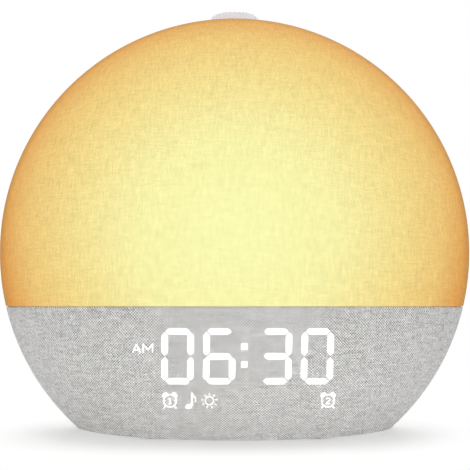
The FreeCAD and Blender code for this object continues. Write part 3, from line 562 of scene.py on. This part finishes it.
class Light:
    """Collects flat shapes drawn in the display plane and lays them on the cloth."""

    def __init__(self):
        self.places, self.threads, self.faces = [], [], []

    def point(self, x, z):
        place, thread = on_cloth(x, z)
        self.places.append(place)
        self.threads.append(thread)
        return len(self.places) - 1

    def stroke(self, points, half_width, pointed=0.0, closed=False):
        """A band along points, its ends drawn to a point over the length pointed."""
        if closed:
            points = points + points[:1]
        stations, total = [], 0.0
        for (x0, z0), (x1, z1) in zip(points, points[1:]):
            length = math.hypot(x1 - x0, z1 - z0)
            cuts = {0.0, 1.0}
            if pointed:
                cuts |= {pointed / length, 1 - pointed / length}
            count = max(1, math.ceil(length / STEP))
            cuts |= {i / count for i in range(1, count)}
            ways = [(x0 + (x1 - x0) * t, z0 + (z1 - z0) * t, total + length * t) for t in sorted(cuts)]
            stations += ways if not stations else ways[1:]
            total += length
        rows = []
        last = len(stations) - 1
        for i, (x, z, run) in enumerate(stations):
            if closed:
                before, after = stations[(i - 1) % last], stations[(i + 1) % last]
            else:
                before, after = stations[max(i - 1, 0)], stations[min(i + 1, last)]
            dx, dz = after[0] - before[0], after[1] - before[1]
            length = math.hypot(dx, dz)
            w = half_width
            if pointed:
                w = max(min(run, total - run, pointed) / pointed * half_width, POINT_WIDTH)
            nx, nz = -dz / length * w, dx / length * w
            rows.append([self.point(x + nx, z + nz), self.point(x, z), self.point(x - nx, z - nz)])
        for a, b in zip(rows, rows[1:]):
            self.faces.append((a[0], a[1], b[1], b[0]))
            self.faces.append((a[1], a[2], b[2], b[1]))

    def disc(self, x, z, radius_x, radius_z, turn=0.0, sides=20):
        """A filled ellipse, turned by an angle."""
        centre = self.point(x, z)
        rim = []
        for k in range(sides):
            a = 2 * math.pi * k / sides
            ex, ez = radius_x * math.cos(a), radius_z * math.sin(a)
            rim.append(self.point(x + ex * math.cos(turn) - ez * math.sin(turn),
                                  z + ex * math.sin(turn) + ez * math.cos(turn)))
        for k in range(sides):
            self.faces.append((centre, rim[k], rim[(k + 1) % sides]))

    def make(self, name):
        return build_mesh(name, self.places, self.faces, self.threads, display_light())


def circle(x, z, radius, sides=28):
    return [(x + radius * math.cos(2 * math.pi * k / sides), z + radius * math.sin(2 * math.pi * k / sides))
            for k in range(sides)]


def draw_digit(light, column, digit):
    w = (DIGIT_WIDTH - SEGMENT_WIDTH) / 2
    h = (DIGIT_HEIGHT - SEGMENT_WIDTH) / 2
    ends = {"a": (-w, h, w, h), "b": (w, h, w, 0), "c": (w, 0, w, -h), "d": (-w, -h, w, -h),
            "e": (-w, 0, -w, -h), "f": (-w, h, -w, 0), "g": (-w, 0, w, 0)}
    half = SEGMENT_WIDTH / 2
    for key in SEGMENTS_OF[digit]:
        x0, z0, x1, z1 = ends[key]
        length = math.hypot(x1 - x0, z1 - z0)
        gx, gz = (x1 - x0) / length * SEGMENT_GAP, (z1 - z0) / length * SEGMENT_GAP
        points = [(x0 + gx, z0 + gz), (x1 - gx, z1 - gz)]
        light.stroke([(column + x + z * DIGIT_LEAN, DIGIT_UP + z) for x, z in points], half, pointed=half)


SYMBOL_UP = -13.5
SYMBOL_UNIT = 0.315           # size of one step of the symbols' own grid
ALARM_COLUMNS = (-20.7, 29.95)
NOTE_COLUMN = -14.15
SUN_COLUMN = -8.05


def draw_symbol(light, column, strokes, discs=()):
    """Draws a symbol from shapes on the symbols' own grid.

    Strokes are (points, half width, closed) and discs (x, z, radius x, radius z, turn).
    """
    u = SYMBOL_UNIT
    for points, half, closed in strokes:
        light.stroke([(column + x * u, SYMBOL_UP + z * u) for x, z in points], half * u, closed=closed)
    for x, z, rx, rz, turn in discs:
        light.disc(column + x * u, SYMBOL_UP + z * u, rx * u, rz * u, turn)


def alarm_symbol(light, column, number):
    """A twin-bell clock face with a number."""
    strokes = [(circle(0, 0, 6.5), 0.75, True)]
    for side in (-1, 1):
        strokes.append(([(side * 4.3, -5.4), (side * 6.6, -8.0)], 0.8, False))
        strokes.append(([(side * 5.9, 0), (side * 4.2, 0)], 0.5, False))
    if number == 1:
        strokes.append(([(-1.9, 1.6), (0.2, 3.0), (0.2, -3.2)], 0.75, False))
        strokes.append(([(-1.6, -3.2), (2.0, -3.2)], 0.6, False))
    else:
        two = [(-2.0, 1.6), (-1.2, 2.8), (0.6, 3.0), (1.9, 1.9), (1.6, 0.5), (-2.0, -3.0), (2.3, -3.0)]
        strokes.append((two, 0.7, False))
    discs = [(side * 5.0, 6.2, 3.4, 2.3, side * -0.75) for side in (-1, 1)]
    draw_symbol(light, column, strokes, discs)


def note_symbol(light, column):
    strokes = [([(1.6, -4.9), (1.6, 8.6)], 1.05, False),
               ([(1.9, 7.6), (3.4, 4.6), (5.3, 2.6), (5.4, 0.2), (4.4, -1.4)], 0.7, False)]
    draw_symbol(light, column, strokes, [(-1.6, -5.8, 3.6, 2.7, 0.35)])


def sun_symbol(light, column, rays=9):
    strokes = [(circle(0, 0, 4.2), 0.6, True)]
    for k in range(rays):
        a = math.pi / 2 + 2 * math.pi * k / rays
        ray = [(reach * math.cos(a), reach * math.sin(a)) for reach in (5.9, 8.4)]
        strokes.append((ray, 0.6, False))
    draw_symbol(light, column, strokes)


def morning_mark(light, left=-32.65, low=2.3, tall=3.05, wide=3.0, pitch=3.6, half=0.24):
    """The two letters of the morning half of the day, each as wide, their left edges a pitch apart."""
    top = low + tall
    peak = left + wide / 2
    light.stroke([(left + half, low), (peak, top - half)], half)
    light.stroke([(peak, top - half), (left + wide - half, low)], half)
    light.stroke([(left + 0.75, low + 0.85), (left + wide - 0.75, low + 0.85)], half * 0.85)
    m = left + pitch
    light.stroke([(m, low), (m, top)], half)
    light.stroke([(m, top - half), (m + wide / 2, low + tall * 0.3)], half)
    light.stroke([(m + wide / 2, low + tall * 0.3), (m + wide, top - half)], half)
    light.stroke([(m + wide, low), (m + wide, top)], half)


def make_display():
    light = Light()
    for column, digit in zip(DIGIT_COLUMNS, SHOWN_DIGITS):
        draw_digit(light, column, digit)
    half = SEGMENT_WIDTH / 2
    for side in (-1, 1):
        z = COLON_UP + side * COLON_HALF_PITCH
        light.stroke([(COLON_COLUMN, z - half), (COLON_COLUMN, z + half)], half)
    alarm_symbol(light, ALARM_COLUMNS[0], 1)
    note_symbol(light, NOTE_COLUMN)
    sun_symbol(light, SUN_COLUMN)
    alarm_symbol(light, ALARM_COLUMNS[1], 2)
    morning_mark(light)
    made = light.make("display_light")
    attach(made, "root")


# the room

FLOOR_HALF = 3.0              # half the floor's side, in metres
FLOOR_GLOW = 0.27             # keeps the shadow on the pale table from going dark
FLOOR_COLOUR = 0.94
FADE_START = 0.056            # where the table starts to fade into the white of the room, in metres
FADE_END = 0.088
AMBIENT = 0.42


def make_floor():
    """A pale table whose shading fades into the white of the room away from the clock."""
    e = FLOOR_HALF
    mesh = bpy.data.meshes.new("floor")
    mesh.from_pydata([(-e, -e, 0), (e, -e, 0), (e, e, 0), (-e, e, 0)], [], [(0, 1, 2, 3)])
    floor = bpy.data.objects.new("floor", mesh)
    bpy.context.scene.collection.objects.link(floor)
    s = Shader("floor")
    paper = s.node("ShaderNodeBsdfDiffuse")
    paper.inputs["Color"].default_value = (FLOOR_COLOUR, FLOOR_COLOUR, FLOOR_COLOUR, 1.0)
    glow = s.node("ShaderNodeEmission")
    glow.inputs["Strength"].default_value = FLOOR_GLOW
    near = s.node("ShaderNodeAddShader")
    s.link(paper.outputs[0], near.inputs[0])
    s.link(glow.outputs[0], near.inputs[1])
    far = s.node("ShaderNodeEmission")
    distance = s.node("ShaderNodeVectorMath", operation="LENGTH")
    s.link(s.position(), distance.inputs[0])
    fade = s.node("ShaderNodeMixShader")
    s.link(s.span(distance.outputs["Value"], FADE_START, FADE_END), fade.inputs[0])
    s.link(near.outputs[0], fade.inputs[1])
    s.link(far.outputs[0], fade.inputs[2])
    s.link(fade.outputs[0], s.output.inputs["Surface"])
    mesh.materials.append(s.material)


def seen_directly(s):
    """One for rays from the camera and for the reflections and glass that show the background."""
    path = s.node("ShaderNodeLightPath")
    first = s.math("MAXIMUM", path.outputs["Is Camera Ray"], path.outputs["Is Glossy Ray"])
    return s.math("MAXIMUM", first, path.outputs["Is Transmission Ray"])


def make_world():
    world = bpy.data.worlds.new("studio")
    bpy.context.scene.world = world
    s = Shader("studio", world)
    background = s.node("ShaderNodeBackground")
    background.inputs["Color"].default_value = (1.0, 1.0, 1.0, 1.0)
    s.link(s.span(seen_directly(s), 0.0, 1.0, AMBIENT, 1.0), background.inputs["Strength"])
    s.link(background.outputs[0], s.output.inputs["Surface"])


def area_light(name, place, target, size, power):
    lamp = bpy.data.lights.new(name, "AREA")
    lamp.shape = "DISK"
    lamp.size = size
    lamp.energy = power
    made = bpy.data.objects.new(name, lamp)
    made.location = place
    made.rotation_euler = (Vector(target) - Vector(place)).to_track_quat("-Z", "Y").to_euler()
    bpy.context.scene.collection.objects.link(made)


def make_lights():
    middle = (0.0, 0.0, 0.07)
    area_light("top", (0.0, -0.05, 1.1), middle, size=0.8, power=5.0)
    area_light("front", (0.0, -1.1, 0.12), middle, size=0.8, power=4.6)
    area_light("back", (0.3, 0.9, 0.7), middle, size=0.9, power=2.6)


def make_camera():
    data = bpy.data.cameras.new("camera")
    data.sensor_width = SENSOR
    data.lens = SENSOR * FOCAL_PIXELS / IMAGE_SIZE
    data.clip_start = 0.01
    camera = bpy.data.objects.new("camera", data)
    camera.location = VIEWER
    camera.rotation_euler = (math.pi / 2 + CAMERA_TILT, 0, 0)
    bpy.context.scene.collection.objects.link(camera)
    bpy.context.scene.camera = camera


dress_frame()
make_cloths()
make_display()
make_floor()
make_world()
make_lights()
make_camera()
bpy.context.scene.view_settings.view_transform = "Standard"
